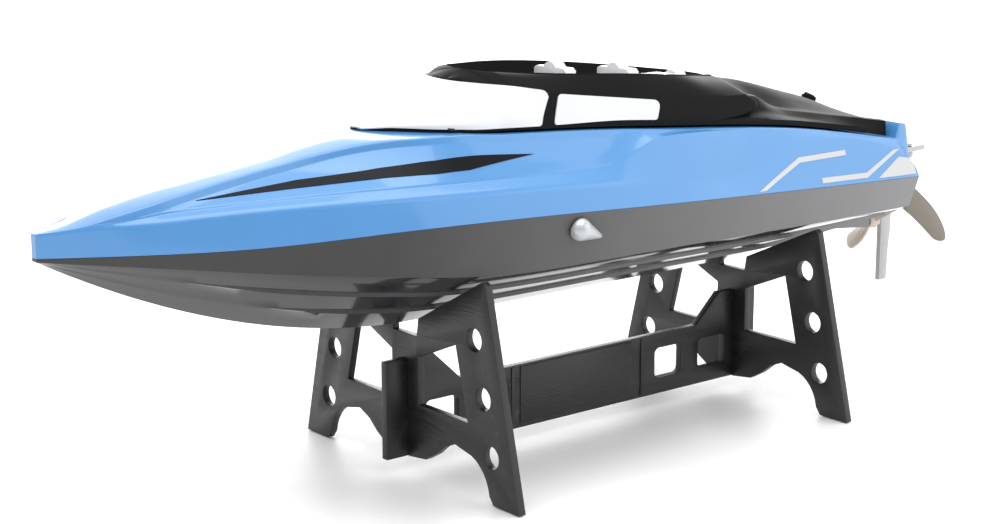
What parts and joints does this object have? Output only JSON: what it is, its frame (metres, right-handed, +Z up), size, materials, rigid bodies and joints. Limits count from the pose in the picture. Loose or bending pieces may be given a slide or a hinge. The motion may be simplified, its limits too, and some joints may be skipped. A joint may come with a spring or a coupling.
{
  "type": "radio-controlled speedboat on stand",
  "caption": "Deep-V radio-controlled electric speedboat with lift-off canopy, propeller, steering rudder and slotted black display stand.",
  "frame": {"origin": "on the floor under the middle of the whole model on its stand", "axes": "+X to the bow, +Y to port, +Z up"},
  "size_m": [0.4172, 0.129, 0.1463],
  "materials": {
    "stand_black": "brushed",
    "hull_grey": "gloss",
    "deck_blue": "gloss",
    "canopy_black": "gloss",
    "glazing_white": "gloss",
    "seat_silver": "gloss",
    "inner_black": "satin",
    "servo_blue": "gloss",
    "battery_wrap": "gloss",
    "strap_black": "woven",
    "steel": "satin",
    "alloy": "satin",
    "brass": "satin",
    "hose_clear": "satin",
    "rubber_black": "matte",
    "outlet_silver": "gloss",
    "grey_plastic": "satin",
    "strut_grey": "satin",
    "fin_brown": "satin",
    "prop_ivory": "satin",
    "horn_white": "satin"
  },
  "bodies": {
    "stand": {"front_frame": "stand_black", "rear_frame": "stand_black", "stand_spine": "stand_black"},
    "boat": {"hull_shell": "hull_grey", "deck_shell": "deck_blue", "battery_tray": "inner_black", "battery_pack": "battery_wrap", "battery_strap": "strap_black", "electronics_shelf": "inner_black", "control_box": "inner_black", "motor_mount": "inner_black", "motor_can": "steel", "cooling_jacket": "alloy", "water_inlet": "brass", "inlet_hose": "hose_clear", "outlet_hose": "hose_clear", "outlet_fitting": "outlet_silver", "stuffing_tube": "brass", "shaft_strut": "strut_grey", "servo_tray": "inner_black", "servo": "servo_blue", "rubber_boot": "rubber_black", "rudder_bracket": "grey_plastic", "bracket_screws": "steel", "turn_fins": "fin_brown", "hatch_seal": "rubber_black"},
    "drive": {"motor_shaft": "steel", "prop_shaft": "steel", "shaft_coupler": "alloy", "propeller": "prop_ivory", "prop_nut": "steel"},
    "servo_horn": {"servo_horn": "horn_white"},
    "pushrod": {"pushrod": "steel"},
    "rudder": {"rudder_blade": "grey_plastic", "rudder_post": "steel", "tiller_arm": "grey_plastic"},
    "inner_hatch": {"inner_hatch": "inner_black"},
    "canopy": {"canopy_shell": "canopy_black", "windshield": "glazing_white", "side_windows": "glazing_white", "cockpit_seats": "seat_silver"},
    "canopy_lock": {"canopy_lock": "canopy_black"}
  },
  "joints": [
    {"name": "boat_lift", "type": "slide", "parent": "stand", "child": "boat", "axis": [0, 0, 1], "range_m": [0, 0.12]},
    {"name": "propeller_spin", "type": "hinge", "parent": "boat", "child": "drive", "pos_m": [-0.1895, 0, 0.0605], "axis": [0.9914, 0, 0.1305], "continuous": true},
    {"name": "servo_swing", "type": "hinge", "parent": "boat", "child": "servo_horn", "pos_m": [-0.125, 0.009, 0.091], "axis": [0, 0, 1], "range_deg": [-30, 30]},
    {"name": "pushrod_pivot", "type": "hinge", "parent": "servo_horn", "child": "pushrod", "pos_m": [-0.125, 0.021, 0.0932], "axis": [0, 0, 1], "range_deg": [-30, 30]},
    {"name": "rudder_swing", "type": "hinge", "parent": "boat", "child": "rudder", "pos_m": [-0.1985, 0, 0.085], "axis": [0, 0, 1], "range_deg": [-30, 30]},
    {"name": "inner_hatch_lift", "type": "slide", "parent": "boat", "child": "inner_hatch", "axis": [0, 0, 1], "range_m": [0, 0.06]},
    {"name": "canopy_lift", "type": "slide", "parent": "inner_hatch", "child": "canopy", "axis": [0, 0, 1], "range_m": [0, 0.06]},
    {"name": "lock_turn", "type": "hinge", "parent": "canopy", "child": "canopy_lock", "pos_m": [-0.146, 0, 0.1181], "axis": [-0.3827, 0, 0.9239], "range_deg": [0, 90]}
  ],
  "couplings": [
    {"joint": "pushrod_pivot", "follows": "servo_swing", "ratio": -1},
    {"joint": "rudder_swing", "follows": "servo_swing", "ratio": 1}
  ]
}
